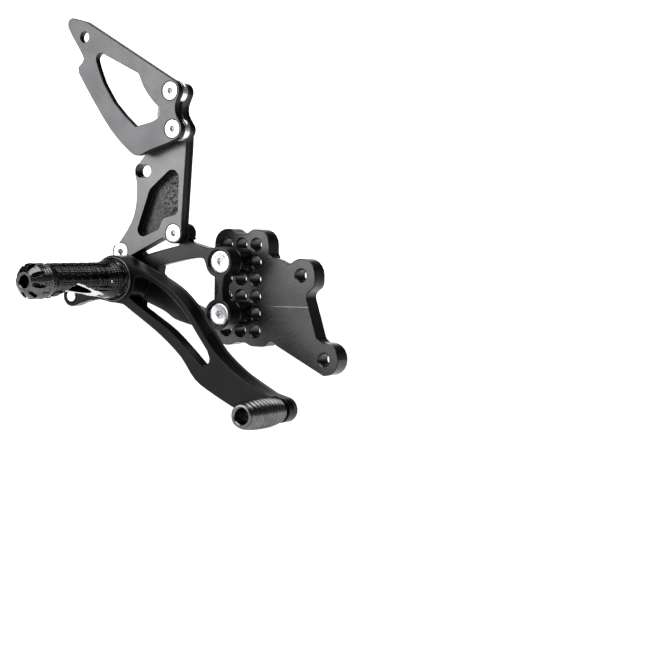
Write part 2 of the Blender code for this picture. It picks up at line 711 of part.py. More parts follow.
def foot_peg():
    peg = stacked("foot_peg", peg_grip_loops(), 20.0)
    past = 1.0
    cut(peg, turned("cut_peg_bore", PIVOT, [
        (PEG_BORE / 2, PEG_FRONT - past), (PEG_BORE / 2, BOLT_SEAT),
    ], 32))
    cut(peg, turned("cut_peg_bolt_hole", PIVOT, [
        (M8 / 2 + BOLT_CLEARANCE, BOLT_SEAT - past), (M8 / 2 + BOLT_CLEARANCE, PEG_BACK + past),
    ], 24))
    cut(peg, peg_scoop())
    pin_hole = PEG_PIN_RADIUS + PEG_PIN_CLEARANCE
    cut(peg, stacked("cut_peg_pin", peg_pin_loops([
        (pin_hole, PEG_PIN_PROUD - PEG_PIN_LENGTH - GAP),
        (pin_hole, max(PEG_BASE_RADIUS, PEG_PIN_PROUD) + past),
    ])))
    material(peg, (0.03, 0.03, 0.03), 0.7, 0.25)


def peg_end_cap():
    band = PEG_RADIUS - CAP_BAND_DEPTH
    band_end = CAP_BACK - CAP_BAND_WIDTH
    spigot = PEG_BORE / 2 - GAP
    loops = [
        fluted_loop(spigot, CAP_BACK + CAP_SPIGOT_LENGTH, 0.0),
        fluted_loop(spigot, CAP_BACK, 0.0),
        fluted_loop(band, CAP_BACK - 0.02, 0.0),
        fluted_loop(band, band_end, 0.0),
        fluted_loop(PEG_RADIUS, band_end - 0.6, CAP_BAND_DEPTH / 2),
        fluted_loop(PEG_RADIUS, band_end - 1.2, PEG_FLUTE_DEPTH),
        fluted_loop(PEG_RADIUS, CAP_RIM + 1.4, PEG_FLUTE_DEPTH),
        fluted_loop(PEG_RADIUS, CAP_RIM + 0.6, 0.0),
        fluted_loop(PEG_RADIUS - 0.5, CAP_RIM, 0.0),
        fluted_loop(CAP_NOSE_RADIUS + 0.5, CAP_NOSE + 0.5, 0.0),
        fluted_loop(CAP_NOSE_RADIUS, CAP_NOSE, 0.0),
    ]
    cap = stacked("peg_end_cap", loops, 20.0)
    past = 1.0
    cut(cap, turned("cut_cap_bore", PIVOT, [
        (CAP_BORE / 2, CAP_NOSE - past), (CAP_BORE / 2, CAP_BACK + CAP_SPIGOT_LENGTH + past),
    ], 24))
    slot_end = PEG_RADIUS + 0.2
    middle = (CAP_SLOT_INNER + slot_end) / 2
    slot = slot_outline((middle, 0.0), slot_end - CAP_SLOT_INNER, CAP_SLOT_WIDTH, 4)
    for k in range(CAP_SLOTS):
        turn = Matrix.Rotation(math.radians(CAP_SLOT_START + 360.0 * k / CAP_SLOTS), 2)
        placed = []
        for point in slot:
            spot = turn @ Vector(point)
            placed.append((PIVOT_X + spot.x, PIVOT_Z + spot.y))
        cut(cap, slab(f"cut_cap_slot_{k}", placed, CAP_NOSE - 2.0, CAP_RIM + 3.5))
    material(cap, (0.04, 0.04, 0.04), 0.8, 0.2)


def socket_screw(name, centre, seat, size, head, tip):
    """A cap screw with its head, as long as the thread is thick, outside Y = seat."""
    top = seat - size
    screw = turned(name, centre, [
        (head / 2 - 0.4, top), (head / 2, top + 0.4), (head / 2, seat), (size / 2, seat + 0.02),
        (size / 2, tip - 1.0), (size / 2 - 0.8, tip),
    ], 24)
    cut(screw, slab(f"cut_{name}", circle(centre, size * 0.43, 6), top - 1.0, top + size * 0.5))
    steel(screw)
    return screw


def peg_pin_loops(profile):
    """Round sections along +X through the front side of the grip, from (radius, reach) pairs."""
    loops = []
    for radius, reach in profile:
        loop = []
        for along, height in circle((0.0, 0.0), radius, 16):
            loop.append((PIVOT_X + reach, PEG_PIN_Y + along, PIVOT_Z - PEG_PIN_DROP + height))
        loops.append(loop)
    return loops


def peg_locating_pin():
    """A small pin set in the front side of the grip near its base."""
    inner = PEG_PIN_PROUD - PEG_PIN_LENGTH
    bevel = 0.4
    pin = stacked("peg_locating_pin", peg_pin_loops([
        (PEG_PIN_RADIUS, inner), (PEG_PIN_RADIUS, PEG_PIN_PROUD - bevel),
        (PEG_PIN_RADIUS - bevel, PEG_PIN_PROUD),
    ]))
    steel(pin)


# ---------------------------------------------------------------- brake lever

def lever_outline():
    hub = arc(PIVOT, LEVER_HUB_RADIUS, 188.0, 52.0, 14)
    top_edge = curve_through([
        (-103.0, 4.4), (-84.5, -3.6), (-69.0, -12.4), (-55.6, -25.0), (-44.2, -39.6),
        (-33.0, -53.4), (-17.0, -66.0), (-3.5, -73.6), (9.5, -80.2),
    ], 3)
    toe = arc(TOE, TOE_BOSS_RADIUS, 70.0, -112.0, 12)
    bottom_edge = curve_through([
        (-17.5, -90.6), (-34.3, -82.6), (-49.5, -73.6), (-61.9, -58.3),
        (-79.5, -44.0), (-97.2, -32.8), (-113.0, -23.4),
    ], 3)
    hub_bottom = arc(PIVOT, LEVER_HUB_RADIUS, 276.0, 252.0, 3)
    tail = [(-134.0, -20.6), (-143.0, -21.6), (-152.4, -24.2)]
    lug = arc(TAIL_PIN, TAIL_LUG_RADIUS, 290.0, 80.0, 12)
    return hub + top_edge + toe + bottom_edge + hub_bottom + tail + lug


def lever_opening():
    hub_side = arc(PIVOT, LEVER_HUB_RADIUS + 2.2, -42.0, 4.0, 5)
    upper_edge = curve_through([
        (-99.0, -2.4), (-85.4, -7.6), (-71.6, -15.6), (-59.0, -27.4), (-48.4, -41.2), (-39.6, -52.4),
    ], 3)
    far_end = arc((-42.4, -58.6), 5.0, 20.0, -130.0, 7)
    lower_edge = curve_through([(-53.4, -55.3), (-70.9, -40.8), (-88.5, -30.3), (-104.0, -21.2)], 3)
    return hub_side + upper_edge + far_end + lower_edge


def lower_rail_relief():
    """The back of the lower rail is milled away between the hub and the blade."""
    return [(-104.0, -16.0), (-80.0, -27.0), (-44.0, -54.0), (-44.0, -62.6), (-52.0, -82.0),
            (-70.0, -70.0), (-104.0, -42.0)]


def brake_lever():
    lever = slab("brake_lever", lever_outline(), LEVER_FRONT, LEVER_BACK, LEVER_CHAMFER)
    cut(lever, slab("cut_lever_opening", lever_opening(), LEVER_FRONT, LEVER_BACK, -0.5))
    past = 1.0
    cut(lever, slab("cut_lower_rail", lower_rail_relief(), LEVER_FRONT + LOWER_RAIL_THICK,
                    LEVER_BACK + past))
    tail_back = LEVER_FRONT + TAIL_THICK
    cut(lever, slab("cut_tail_back", [(-175.0, 5.0), (-175.0, -40.0), (-143.0, -40.0), (-143.0, 5.0)],
                    tail_back, LEVER_BACK + past))
    rim = LEVER_FRONT - LEVER_RIM_PROUD
    rim_radius = LEVER_HUB_RADIUS - LEVER_CHAMFER - 0.15
    edge = 0.3
    add(lever, turned("add_hub_rim", PIVOT, [
        (rim_radius - edge, rim), (rim_radius, rim + edge), (rim_radius, LEVER_FRONT + past),
    ], 48))
    cut(lever, turned("cut_lever_recess", PIVOT, [
        (LEVER_RECESS_RADIUS + edge / 2 + past, rim - past),
        (LEVER_RECESS_RADIUS, rim + edge / 2),
        (LEVER_RECESS_RADIUS, LEVER_FRONT + LEVER_RECESS_DEPTH),
    ], 48))
    seat = BEARING_OUTSIDE / 2 + GAP / 2
    shoulder = BEARING_OUTSIDE / 2 - BEARING_WALL
    cut(lever, turned("cut_bearing_seats", PIVOT, [
        (seat, LEVER_FRONT + LEVER_RECESS_DEPTH - past),
        (seat, FRONT_BEARING_BACK + GAP),
        (shoulder, FRONT_BEARING_BACK + GAP + 0.02),
        (shoulder, REAR_BEARING_FRONT - GAP - 0.02),
        (seat, REAR_BEARING_FRONT - GAP),
        (seat, LEVER_BACK + past),
    ], 48))
    cut(lever, turned("cut_toe_seat", TOE, [
        (TOE_SEAT_RADIUS, LEVER_FRONT - past), (TOE_SEAT_RADIUS, LEVER_FRONT + TOE_SEAT_DEPTH),
    ], 40))
    cut(lever, turned("cut_toe_thread", TOE, [
        (M6 / 2 + BOLT_CLEARANCE, LEVER_FRONT - past), (M6 / 2 + BOLT_CLEARANCE, LEVER_BACK + past),
    ], 20))
    head = TAIL_PIN_HEAD / 2 + TAIL_SEAT_CLEARANCE
    bore = TAIL_PIN_SIZE / 2 + BOLT_CLEARANCE
    cut(lever, turned("cut_tail_pin", TAIL_PIN, [
        (head, LEVER_FRONT - past), (head, LEVER_FRONT + TAIL_PIN_HEAD_DEPTH),
        (bore, LEVER_FRONT + TAIL_PIN_HEAD_DEPTH + 0.02), (bore, tail_back + past),
    ], 24))
    anodised(lever, 0.06)
    return lever


FRONT_BEARING_FRONT = LEVER_FRONT + LEVER_RECESS_DEPTH + 0.2
FRONT_BEARING_BACK = FRONT_BEARING_FRONT + BEARING_WIDTH
REAR_BEARING_BACK = LEVER_BACK - 0.2
REAR_BEARING_FRONT = REAR_BEARING_BACK - BEARING_WIDTH


def bearing(place, front):
    """A thin ball bearing: outer ring, inner ring and the seal between them."""
    back = front + BEARING_WIDTH
    outside = BEARING_OUTSIDE / 2
    bore = BEARING_BORE / 2
    outer = tube(f"{place}_bearing_outer_ring", PIVOT, outside, outside - BEARING_WALL, front, back,
                 0.3, 24)
    inner = tube(f"{place}_bearing_inner_ring", PIVOT, bore + BEARING_WALL, bore, front, back, 0.3, 24)
    seal = tube(f"{place}_bearing_seal", PIVOT, outside - BEARING_WALL - 0.1,
                bore + BEARING_WALL + 0.1, front + 0.3, back - 0.3, 0.1, 24)
    steel(outer)
    steel(inner)
    material(seal, (0.02, 0.02, 0.02), 0.0, 0.6)
    return [outer, seal]


def pivot_sleeve():
    sleeve = tube("pivot_sleeve", PIVOT, BEARING_BORE / 2 - GAP / 2, SLEEVE_BORE / 2,
                  PEG_BACK + GAP, HUB_FRONT - GAP, 0.3, 24)
    steel(sleeve)


def tail_pin():
    """The headed pin that a brake push rod hangs on, with the clip on its far end."""
    top = LEVER_FRONT
    end = LEVER_BACK - 1.0
    head = TAIL_PIN_HEAD / 2
    shank = TAIL_PIN_SIZE / 2
    groove = end - 2.0
    pin = turned("tail_pin", TAIL_PIN, [
        (head - 0.8, top - 0.4), (head, top), (head, top + TAIL_PIN_HEAD_DEPTH - GAP),
        (shank, top + TAIL_PIN_HEAD_DEPTH - GAP + 0.02), (shank, groove - 0.6),
        (shank - 0.6, groove - 0.58), (shank - 0.6, groove + 0.58), (shank, groove + 0.6),
        (shank, end - 0.5), (shank - 0.5, end),
    ], 24)
    steel(pin)
    clip = ring("tail_pin_clip", TAIL_PIN, [
        (shank + 1.4, groove - 0.4), (shank + 1.4, groove + 0.4),
        (shank - 0.3, groove + 0.4), (shank - 0.3, groove - 0.4),
    ], 24)
    steel(clip)
    return [pin, clip]


def toe_peg_radius(share):
    """Barrel shape of the toe peg, from its outer end at 0 to the toe boss at 1."""
    widest = 0.47
    off = abs(share - widest) / (1.0 - widest)
    return TOE_PEG_RADIUS - TOE_PEG_TAPER * off**2.4


def toe_peg():
    back = LEVER_FRONT + TOE_SEAT_DEPTH - GAP
    front = back - TOE_PEG_LENGTH
    edge = 0.8
    profile = [(toe_peg_radius(0.0) - 1.4, front), (toe_peg_radius(0.0) - 0.4, front + edge)]
    start = front + 2.0
    pitch = (TOE_PEG_LENGTH - 3.5) / TOE_PEG_RIBS
    for rib in range(TOE_PEG_RIBS):
        y = start + rib * pitch
        high = toe_peg_radius((y + 0.45 * pitch - front) / TOE_PEG_LENGTH)
        profile += [
            (high - TOE_PEG_RIB_DEPTH, y), (high, y + 0.3 * pitch), (high, y + 0.6 * pitch),
        ]
    last = toe_peg_radius(1.0)
    profile += [(last - TOE_PEG_RIB_DEPTH, back - 1.2), (last - TOE_PEG_RIB_DEPTH, back)]
    peg = turned("toe_peg", TOE, profile, 24)
    past = 1.0
    seat = front + TOE_SOCKET_DEPTH
    cut(peg, turned("cut_toe_socket", TOE, [
        (TOE_SOCKET / 2 + edge + past, front - past), (TOE_SOCKET / 2, front + edge),
        (TOE_SOCKET / 2, seat),
    ], 24))
    cut(peg, turned("cut_toe_bore", TOE, [
        (M6 / 2 + BOLT_CLEARANCE, seat - past), (M6 / 2 + BOLT_CLEARANCE, back + past),
    ], 20))
    material(peg, (0.05, 0.05, 0.05), 0.8, 0.25)
    screw = socket_screw("toe_peg_screw", TOE, seat - GAP, M6, TOE_SCREW_HEAD, LEVER_BACK - 4.0)
    return [peg, screw]


# ---------------------------------------------------------------- assembly

def clear_scene():
    for existing in list(bpy.context.scene.objects):
        bpy.data.objects.remove(existing, do_unlink=True)


def ride_on_pivot(pieces):
    """Parents the moving pieces to an empty on the lever's axis."""
    pivot = bpy.data.objects.new("brake_pivot", None)
    pivot.location = Vector((PIVOT_X, LEVER_FRONT, PIVOT_Z)) * MM
    bpy.context.scene.collection.objects.link(pivot)
    for piece in pieces:
        piece.parent = pivot
        piece.matrix_parent_inverse = Matrix.Translation(-pivot.location)


def build():
    clear_scene()
    adapter_plate()
    main_bracket()
    tip = -2.0
    for row, name in ((UPPER_ROW, "upper"), (LOWER_ROW, "lower")):
        centre = grid_hole(BRACKET_COLUMN, row)
        bracket_spacer(f"{name}_spacer", centre)
        countersunk_screw(f"{name}_bracket_screw", centre, BRACKET_FRONT + SEAT_DEPTH, M8_HEAD, M8, tip)
    upright_plate()
    for centre, name in ((UPRIGHT_FRONT_SCREW, "front"), (UPRIGHT_REAR_SCREW, "rear")):
        countersunk_screw(f"upright_{name}_screw", centre, UPRIGHT_FRONT, M6_HEAD, M6, ARM_BACK)
    heel_guard()
    for centre, name in ((GUARD_UPPER_SCREW, "upper"), (GUARD_LOWER_SCREW, "lower")):
        guard_spacer(f"guard_{name}_spacer", centre)
        countersunk_screw(f"guard_{name}_screw", centre, GUARD_FRONT, M6_HEAD, M6,
                          UPRIGHT_BACK - 1.0)
    foot_peg()
    peg_locating_pin()
    peg_end_cap()
    socket_screw("peg_bolt", PIVOT, BOLT_SEAT - GAP, M8, PEG_BOLT_HEAD, ARM_BACK)
    pivot_sleeve()
    moving = [brake_lever()]
    moving += bearing("front", FRONT_BEARING_FRONT)
    moving += bearing("rear", REAR_BEARING_FRONT)
    moving += tail_pin()
    moving += toe_peg()
    ride_on_pivot(moving)


build()
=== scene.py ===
"""Looks of the foot peg assembly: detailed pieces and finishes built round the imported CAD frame."""

import math

import bmesh
import bpy
from mathutils import Matrix, Vector

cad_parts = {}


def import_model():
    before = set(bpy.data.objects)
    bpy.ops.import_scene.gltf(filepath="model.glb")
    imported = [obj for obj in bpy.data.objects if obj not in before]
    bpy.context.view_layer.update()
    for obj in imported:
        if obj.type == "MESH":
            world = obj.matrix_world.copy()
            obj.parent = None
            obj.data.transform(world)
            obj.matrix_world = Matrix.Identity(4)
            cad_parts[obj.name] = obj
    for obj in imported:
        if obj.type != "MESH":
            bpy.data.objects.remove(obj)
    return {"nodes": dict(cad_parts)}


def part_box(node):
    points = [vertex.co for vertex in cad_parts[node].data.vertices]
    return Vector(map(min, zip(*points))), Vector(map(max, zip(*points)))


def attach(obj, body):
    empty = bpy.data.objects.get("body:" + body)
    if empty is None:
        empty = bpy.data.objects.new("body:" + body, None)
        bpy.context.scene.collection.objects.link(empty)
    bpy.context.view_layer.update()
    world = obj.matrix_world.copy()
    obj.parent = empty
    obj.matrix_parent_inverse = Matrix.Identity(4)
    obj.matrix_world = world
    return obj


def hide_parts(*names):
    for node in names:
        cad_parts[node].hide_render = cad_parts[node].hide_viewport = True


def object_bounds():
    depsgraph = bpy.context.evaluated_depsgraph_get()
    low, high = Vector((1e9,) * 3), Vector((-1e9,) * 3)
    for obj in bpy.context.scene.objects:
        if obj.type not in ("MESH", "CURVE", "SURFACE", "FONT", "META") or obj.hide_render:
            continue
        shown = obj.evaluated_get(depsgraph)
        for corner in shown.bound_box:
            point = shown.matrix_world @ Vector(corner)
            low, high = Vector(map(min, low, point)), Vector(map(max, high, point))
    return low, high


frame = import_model()
cad_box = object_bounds()

MM = 0.001
STATIC = "rearset"
MOVING = "brake_lever_body"


# ---------------------------------------------------------------- places taken from the CAD

def span(node):
    """A node's lowest and highest corner, in millimetres."""
    low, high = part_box(node)
    return low / MM, high / MM


def centre_of(node):
    """The X and Z of a node turned about an axis along Y, in millimetres."""
    low, high = span(node)
    return ((low.x + high.x) / 2, (low.z + high.z) / 2)


PEG_AXIS = centre_of("pivot_sleeve")
TOE_AXIS = centre_of("toe_peg")
PEG_LOW, PEG_HIGH = span("foot_peg")
CAP_LOW, CAP_HIGH = span("peg_end_cap")


# ---------------------------------------------------------------- meshes

def object_from(name, bm, smooth=32.0):
    """A mesh object from a bmesh in millimetres."""
    bmesh.ops.scale(bm, vec=(MM, MM, MM), verts=bm.verts)
    bmesh.ops.recalc_face_normals(bm, faces=bm.faces)
    mesh = bpy.data.meshes.new(name)
    bm.to_mesh(mesh)
    bm.free()
    mesh.shade_smooth()
    mesh.set_sharp_from_angle(angle=math.radians(smooth))
    made = bpy.data.objects.new(name, mesh)
    bpy.context.scene.collection.objects.link(made)
    return made


def skin(name, loops, closed=False, smooth=32.0):
    """A solid through loops of points: capped at both ends, or closed into a ring."""
    bm = bmesh.new()
    rings = [[bm.verts.new(p) for p in loop] for loop in loops]
    pairs = list(zip(rings, rings[1:]))
    if closed:
        pairs.append((rings[-1], rings[0]))
    for near, far in pairs:
        count = len(near)
        for k in range(count):
            n = (k + 1) % count
            bm.faces.new((near[k], near[n], far[n], far[k]))
    if not closed:
        bm.faces.new(rings[0][::-1])
        bm.faces.new(rings[-1])
    return object_from(name, bm, smooth)


def turned(name, axis, profile, steps=96, closed=False, smooth=32.0):
    """A turned solid about an axis along Y, from (radius, y) pairs."""
    loops = []
    for radius, y in profile:
        loop = []
        for k in range(steps):
            a = 2 * math.pi * k / steps
            loop.append((axis[0] + radius * math.cos(a), y, axis[1] + radius * math.sin(a)))
        loops.append(loop)
    return skin(name, loops, closed, smooth)


def cut(target, cutter):
    """Cuts one solid out of another and keeps only the result."""
    modifier = target.modifiers.new("cut", "BOOLEAN")
    modifier.operation = "DIFFERENCE"
    modifier.solver = "EXACT"
    modifier.object = cutter
    graph = bpy.context.evaluated_depsgraph_get()
    result = bpy.data.meshes.new_from_object(target.evaluated_get(graph))
    target.modifiers.remove(modifier)
    old = target.data
    target.data = result
    target.data.name = target.name
    bpy.data.meshes.remove(old)
    bpy.data.objects.remove(cutter)


def sharpen(target, smooth=32.0):
    """Smooth shading, with edges steeper than the given angle kept sharp."""
    target.data.shade_smooth()
    target.data.set_sharp_from_angle(angle=math.radians(smooth))


def ease(t):
    """A smooth rise from zero to one."""
    t = min(1.0, max(0.0, t))
    return t * t * (3 - 2 * t)


# ---------------------------------------------------------------- foot peg

LAND_ANGLE = 37.0  # the middle of one raised land, from +X towards +Z
LAND_HALF = 10.5
FLUTES = 8
FLUTE_DEPTH = 1.25
TOOTH_PITCH = 2.65
TOOTH_DEPTH = 0.6
TOOTH_ANGLE = 7.0  # between two axial grooves of the knurl, in degrees
PEG_TURNS = 360
NECK_FRONT = -77.0
GRIP_RADIUS = 12.3
BASE_RADIUS = 13.7
SEGMENT = 9.6
FIRST_GROOVE = -102.0
BORE_RADIUS = 9.5
SCOOP_LINE = (PEG_LOW.y + 20.5, -4.1)  # the scoop's lowest line: its Y and its height over the axis
SCOOP_ENDS = ((PEG_LOW.y + 1.5, -12.9), (NECK_FRONT - 4.0, -13.6))
SCOOP_TILT = math.radians(12.0)
CAP_BACK = PEG_LOW.y - 0.3
CONE_LENGTH = 6.5
CAP_BAND = 5.4  # width of the plain band at the cap's back
CAP_SLOT_START = 30.0  # the first slot's angle, in degrees
CAP_SLOT_INNER = 7.1
CAP_SLOT_OUTER = 12.5
CAP_SLOT_HALF_WIDTH = 1.7


def triangle_wave(x):
    """Zero at whole numbers, one half way between them."""
    return 1 - abs(2 * (x - math.floor(x)) - 1)


def land_share(degrees):
    """One on a raised land, zero in a flute."""
    pitch = 360.0 / FLUTES
    off = abs((degrees - LAND_ANGLE + pitch / 2) % pitch - pitch / 2)
    return 1 - ease((off - LAND_HALF) / 2.6)


def knurl(degrees, y):
    """How far the small pyramids of the knurl lie below the surface."""
    along = triangle_wave(y / TOOTH_PITCH)
    around = triangle_wave(degrees / TOOTH_ANGLE)
    return TOOTH_DEPTH * (1 - min(1.0, 1.35 * along)) + 0.3 * TOOTH_DEPTH * (1 - around)


def grip_radius(degrees, y):
    land = land_share(degrees)
    base = ease((y + 91.0) / 11.0)  # one at the base, zero along the grip
    radius = GRIP_RADIUS + (BASE_RADIUS - GRIP_RADIUS) * base
    flute = FLUTE_DEPTH * ease((-81.0 - y) / 12.0) * (1 - land)
    # Each flute is scalloped: it rises to a sharp step at every ring groove.
    if FIRST_GROOVE + SEGMENT / 2 > y > PEG_LOW.y + 1.5:
        share = ((FIRST_GROOVE - y) / SEGMENT) % 1.0
        flute += (0.6 * (1 - share) ** 2) * (0.35 + 0.65 * (1 - land))
        if share < 0.06 or share > 0.97:
            flute += 0.35
    teeth = knurl(degrees, y) * max(land, 0.9 * base)
    end = min(1.0, max(0.0, (y - PEG_LOW.y) / 0.7))
    return radius - flute - teeth - 0.35 * (1 - end)


def peg_loop(radius_at, y):
    loop = []
    for k in range(PEG_TURNS):
        degrees = 360.0 * k / PEG_TURNS
        radius = radius_at(degrees)
        a = math.radians(degrees)
        loop.append((PEG_AXIS[0] + radius * math.cos(a), y, PEG_AXIS[1] + radius * math.sin(a)))
    return loop


def scoop_point(along, y, height):
    """A point given in the scoop's tilted frame."""
    x = along * math.cos(SCOOP_TILT) - height * math.sin(SCOOP_TILT)
    z = along * math.sin(SCOOP_TILT) + height * math.cos(SCOOP_TILT)
    return (PEG_AXIS[0] + x, y, PEG_AXIS[1] + z)


def scoop_cutter():
    """The V cut across the underside of the grip, which opens the bore."""
    (outer, outer_level), (inner, inner_level) = SCOOP_ENDS
    profile = [(outer, outer_level), (SCOOP_LINE[0], SCOOP_LINE[1]), (inner, inner_level),
               (inner, -26.0), (outer, -26.0)]
    loops = []
    for along in (-26.0, 26.0):
        loops.append([scoop_point(along, y, z) for y, z in profile])
    return skin("cutter", loops)


def foot_peg():
    neck, hole, bore, seat = 9.4, 4.35, BORE_RADIUS, -86.0
    back = PEG_HIGH.y
    rows = [peg_loop(lambda d: neck, back), peg_loop(lambda d: neck, NECK_FRONT - 0.1)]
    rows.append(peg_loop(lambda d: BASE_RADIUS - 0.7, NECK_FRONT - 0.2))
    steps = 250
    top = NECK_FRONT - 0.6
    for k in range(steps + 1):
        y = top + (PEG_LOW.y - top) * k / steps
        rows.append(peg_loop(lambda d: grip_radius(d, y), y))
    rows.append(peg_loop(lambda d: bore + 0.3, PEG_LOW.y))
    rows.append(peg_loop(lambda d: bore, PEG_LOW.y + 0.3))
    rows.append(peg_loop(lambda d: bore, seat))
    rows.append(peg_loop(lambda d: hole, seat))
    rows.append(peg_loop(lambda d: hole, back))
    peg = skin("foot_peg_grip", rows, closed=True, smooth=28.0)
    cut(peg, scoop_cutter())
    sharpen(peg, 28.0)
    return peg


def cap_radius(degrees, y):
    """The outside of the cap: a plain band, then knurled lands and flats, then the rim."""
    rim = CAP_LOW.y + CONE_LENGTH
    from_back = CAP_BACK - y
    if from_back < CAP_BAND:
        return GRIP_RADIUS - 1.1 * (1 - ease((from_back - 4.9) / 0.5))
    land = land_share(degrees)
    patch = ease((from_back - 5.6) / 0.7) * ease((y - rim - 1.4) / 0.8)
    return GRIP_RADIUS - patch * (1.0 * (1 - land) + knurl(degrees, y) * land)


def radial_slot(angle, inner, outer, half, front, bottom):
    """A round-ended cutter along Y whose long side points away from the peg's axis."""
    turn = math.radians(angle)
    loops = []
    for y, shrink in ((front, 0.0), (bottom - 0.7, 0.0), (bottom, 0.6)):
        loop = []
        for middle, start in ((outer - half, -90.0), (inner + half, 90.0)):
            for k in range(13):
                a = math.radians(start + 15.0 * k)
                along = middle + (half - shrink) * math.cos(a)
                across = (half - shrink) * math.sin(a)
                x = along * math.cos(turn) - across * math.sin(turn)
                z = along * math.sin(turn) + across * math.cos(turn)
                loop.append((PEG_AXIS[0] + x, y, PEG_AXIS[1] + z))
        loops.append(loop)
    return skin("cutter", loops)


def peg_end_cap():
    nose, bore, spigot = 6.2, 4.25, BORE_RADIUS - 0.3
    rim = CAP_LOW.y + CONE_LENGTH
    rows = [peg_loop(lambda d: bore, CAP_HIGH.y), peg_loop(lambda d: spigot - 0.4, CAP_HIGH.y),
            peg_loop(lambda d: spigot, CAP_HIGH.y - 0.4), peg_loop(lambda d: spigot, CAP_BACK)]
    steps = 64
    for k in range(steps + 1):
        y = CAP_BACK - 0.1 + (rim + 0.5 - CAP_BACK + 0.1) * k / steps
        rows.append(peg_loop(lambda d: cap_radius(d, y), y))
    rows.append(peg_loop(lambda d: GRIP_RADIUS - 0.15, rim + 0.12))
    rows.append(peg_loop(lambda d: GRIP_RADIUS - 0.5, rim - 0.1))
    for k in range(1, 9):
        t = k / 8.0
        bulge = 0.55 * math.sin(math.pi * t)
        radius = GRIP_RADIUS - 0.5 + (nose + 0.4 - GRIP_RADIUS + 0.5) * t + bulge * 0.7
        y = rim + (CAP_LOW.y + 0.25 - rim) * t - bulge * 0.55
        rows.append(peg_loop(lambda d: radius, max(y, CAP_LOW.y + 0.02)))
    rows.append(peg_loop(lambda d: nose, CAP_LOW.y))
    rows.append(peg_loop(lambda d: bore + 0.6, CAP_LOW.y))
    rows.append(peg_loop(lambda d: bore, CAP_LOW.y + 0.6))
    cap = skin("peg_end_cap_detail", rows, closed=True, smooth=28.0)
    for k in range(FLUTES):
        angle = CAP_SLOT_START + 360.0 * k / FLUTES
        cut(cap, radial_slot(angle, CAP_SLOT_INNER, CAP_SLOT_OUTER, CAP_SLOT_HALF_WIDTH,
                             CAP_LOW.y - 1.0, rim + 3.2))
    sharpen(cap, 28.0)
    return cap


# ---------------------------------------------------------------- toe peg

TOE_RIBS = 10
TOE_MIDDLE_RADIUS = 10.5
TOE_TAPER = 2.6
TOE_WIDEST = 0.47  # share of the length, from the outer end


def barrel(share):
    """The toe peg's radius, from its outer end at 0 to the toe boss at 1."""
    off = abs(share - TOE_WIDEST) / (1 - TOE_WIDEST)
    return TOE_MIDDLE_RADIUS - TOE_TAPER * off**2.4


def toe_peg():
    low, high = span("toe_peg")
    front, back = low.y, high.y
    length = back - front
    bore, socket = 3.35, 5.4
    profile = [(socket + 0.7, front), (7.45, front), (7.85, front + 0.3), (7.9, front + 1.4)]
    pitch = (length - 3.5) / TOE_RIBS
    start = front + 2.0
    # One rib: a steep flank, a rounded crest and a hollow run down to the next root.
    shape = ((0.0, -1.25), (0.10, -1.18), (0.22, -0.40), (0.32, -0.06), (0.44, 0.0),
             (0.56, -0.05), (0.68, -0.36), (0.80, -1.0), (0.90, -1.2))
    for rib in range(TOE_RIBS):
        for share, drop in shape:
            y = start + (rib + share) * pitch
            profile.append((barrel((y - front) / length) + drop, y))
    profile += [(6.9, back - 1.4), (6.9, back - 0.2), (6.7, back)]
    profile += [(bore, back), (bore, front + 27.0), (socket, front + 27.0), (socket, front + 0.7)]
    return turned("toe_peg_ribbed", TOE_AXIS, profile, 128, closed=True, smooth=40.0)


# ---------------------------------------------------------------- screws, pins and spacers

def hex_cutter(axis, across, top, depth):
    """A hexagon socket with its flared mouth."""
    loops = []
    shape = ((1.28, top - 0.3), (1.16, top), (1.0, top + 0.35), (1.0, top + depth),
             (0.1, top + depth + 0.9))
    for grow, y in shape:
        loop = []
        for k in range(6):
            a = math.radians(60.0 * k + 13.0)
            radius = across / math.sqrt(3) * grow
            loop.append((axis[0] + radius * math.cos(a), y, axis[1] + radius * math.sin(a)))
        loops.append(loop)
    return skin("cutter", loops)


def thread(profile, radius, start, end, pitch, depth):
    """Adds the ridges of a screw thread to a profile, from start to end."""
    y = start
    while y + pitch < end:
        profile += [(radius - depth, y + 0.1 * pitch), (radius - 0.03, y + 0.45 * pitch),
                    (radius - 0.03, y + 0.55 * pitch), (radius - depth, y + 0.9 * pitch)]
        y += pitch
    profile += [(radius - depth, end - 0.4), (radius - depth - 0.5, end)]


def countersunk_screw(node, across, size, pitch):
    low, high = span(node)
    axis = centre_of(node)
    head = (high.x - low.x) / 2
    shank = size / 2
    top = low.y
    cone = top + 0.3 + head - shank
    profile = [(0.02, top + 0.05), (head * 0.70, top + 0.05), (head * 0.74, top),
               (head - 0.35, top), (head - 0.08, top + 0.12), (head, top + 0.3),
               (shank + 0.2, cone - 0.1), (shank - 0.1, cone + 0.5)]
    thread(profile, shank, cone + 2.0, high.y, pitch, 0.45)
    profile.append((0.02, high.y))
    screw = turned(node + "_detail", axis, profile, 96, smooth=24.0)
    cut(screw, hex_cutter(axis, across, top + 0.05, 3.0))
    sharpen(screw, 24.0)
    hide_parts(node)
    return screw


